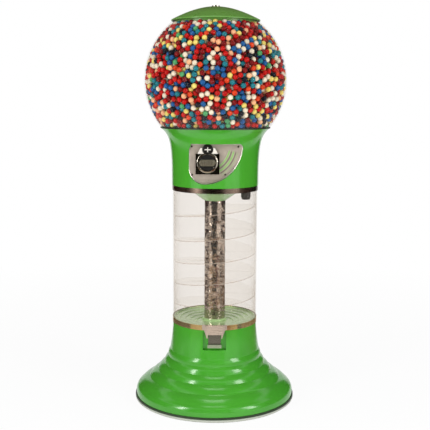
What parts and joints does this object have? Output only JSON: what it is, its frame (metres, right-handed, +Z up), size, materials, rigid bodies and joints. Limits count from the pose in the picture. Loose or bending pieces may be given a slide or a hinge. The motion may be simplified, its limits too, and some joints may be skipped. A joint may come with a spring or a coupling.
{
  "type": "gumball machine",
  "caption": "Spiral gumball machine with a terraced base, a clear ramp tower, a coin mechanism head and a globe.",
  "frame": {"origin": "centre of the foot trim's underside, on the floor", "axes": "+Z up along the column and centre rod, -Y towards the front with the coin mechanism and the chute, +X to the right as seen from the front"},
  "size_m": [0.5839, 0.584, 1.419],
  "materials": {
    "green_paint": "glossy green enamel over a moulded shell",
    "green_plastic": "glossy green moulded plastic",
    "black_rubber": "matte black rubber",
    "stainless": "satin stainless steel",
    "polished_tube": "polished tube",
    "plated_steel": "zinc plated steel",
    "dark_chrome": "dark plated die casting",
    "bright_chrome": "bright plated ring",
    "base_steel": "black painted steel",
    "iron": "plain cast iron",
    "brass_gear": "machined brass",
    "clear_tube": "clear polycarbonate",
    "clear_ramp": "clear polycarbonate",
    "clear_globe": "clear polycarbonate",
    "white_plastic": "moulded nylon",
    "black_plastic": "black moulded plastic",
    "pan_plastic": "moulded plastic",
    "gumballs": "glossy candy shell in mixed colours"
  },
  "bodies": {
    "machine": {"foot_trim": "black_rubber", "base_shell": "green_plastic", "base_neck": "green_plastic", "base_plate": "base_steel", "rod_flange": "iron", "flange_bolts": "plated_steel", "centre_rod": "plated_steel", "rod_nuts": "plated_steel", "catch_tray": "green_plastic", "lower_band": "stainless", "clear_tube": "clear_tube", "column_tube": "polished_tube", "ramp_turn_1": "clear_ramp", "ramp_turn_2": "clear_ramp", "ramp_turn_3": "clear_ramp", "ramp_turn_4": "clear_ramp", "ramp_turn_5": "clear_ramp", "chute_duct": "stainless", "chute_hood": "stainless", "door_pin": "plated_steel", "head_floor": "green_plastic", "upper_band": "stainless", "head_shell": "green_plastic", "front_plate": "stainless", "plate_screws": "plated_steel", "mech_housing": "dark_chrome", "mech_bezel": "bright_chrome", "coin_entry": "black_plastic", "mech_posts": "plated_steel", "mech_back_plate": "plated_steel", "post_screws": "plated_steel", "pawl_pin": "plated_steel", "pawl_spring": "plated_steel", "coin_chute": "plated_steel", "cash_box": "base_steel", "hopper_pan": "pan_plastic", "ball_shield": "plated_steel", "brush_strip": "black_plastic", "drop_spout": "black_plastic", "globe_gasket": "black_rubber", "globe": "clear_globe", "gumball_fill": "gumballs"},
    "wheel": {"vending_wheel": "white_plastic", "crown_gear": "white_plastic", "agitator": "plated_steel"},
    "handle": {"grip_handle": "dark_chrome", "mech_shaft": "plated_steel", "coin_carrier": "dark_chrome", "ratchet_wheel": "plated_steel", "drive_gear": "brass_gear", "shaft_clip": "plated_steel"},
    "output": {"layshaft": "plated_steel", "output_gear": "brass_gear", "crown_pinion": "brass_gear"},
    "pawl": {"ratchet_pawl": "plated_steel"},
    "door": {"chute_door": "dark_chrome"},
    "lid": {"lid": "green_paint", "lid_gasket": "black_rubber", "lock_barrel": "bright_chrome"},
    "plug": {"lock_plug": "bright_chrome"}
  },
  "joints": [
    {"name": "wheel_spin", "type": "hinge", "parent": "machine", "child": "wheel", "pos_m": [0, 0, 0.925], "axis": [0, 0, 1], "continuous": true},
    {"name": "handle_turn", "type": "hinge", "parent": "machine", "child": "handle", "pos_m": [-0.027, -0.13, 0.876], "axis": [0, 1, 0], "continuous": true},
    {"name": "output_turn", "type": "hinge", "parent": "machine", "child": "output", "pos_m": [0, -0.1, 0.89318], "axis": [0, 1, 0], "continuous": true},
    {"name": "pawl_lift", "type": "hinge", "parent": "machine", "child": "pawl", "pos_m": [-0.048, -0.116, 0.897], "axis": [0, -1, 0], "range_deg": [0, 15], "stiffness_Nm_per_rad": 0.004, "springref_deg": -11.46},
    {"name": "door_swing", "type": "hinge", "parent": "machine", "child": "door", "pos_m": [0, -0.153, 0.2755], "axis": [-1, 0, 0], "range_deg": [0, 65]},
    {"name": "lid_lift", "type": "slide", "parent": "machine", "child": "lid", "axis": [0, 0, 1], "range_m": [0, 0.12]},
    {"name": "plug_turn", "type": "hinge", "parent": "lid", "child": "plug", "pos_m": [0, 0, 1.412], "axis": [0, 0, 1], "range_deg": [0, 90]}
  ],
  "couplings": [
    {"joint": "handle_turn", "follows": "wheel_spin", "ratio": -6},
    {"joint": "output_turn", "follows": "wheel_spin", "ratio": 6}
  ]
}
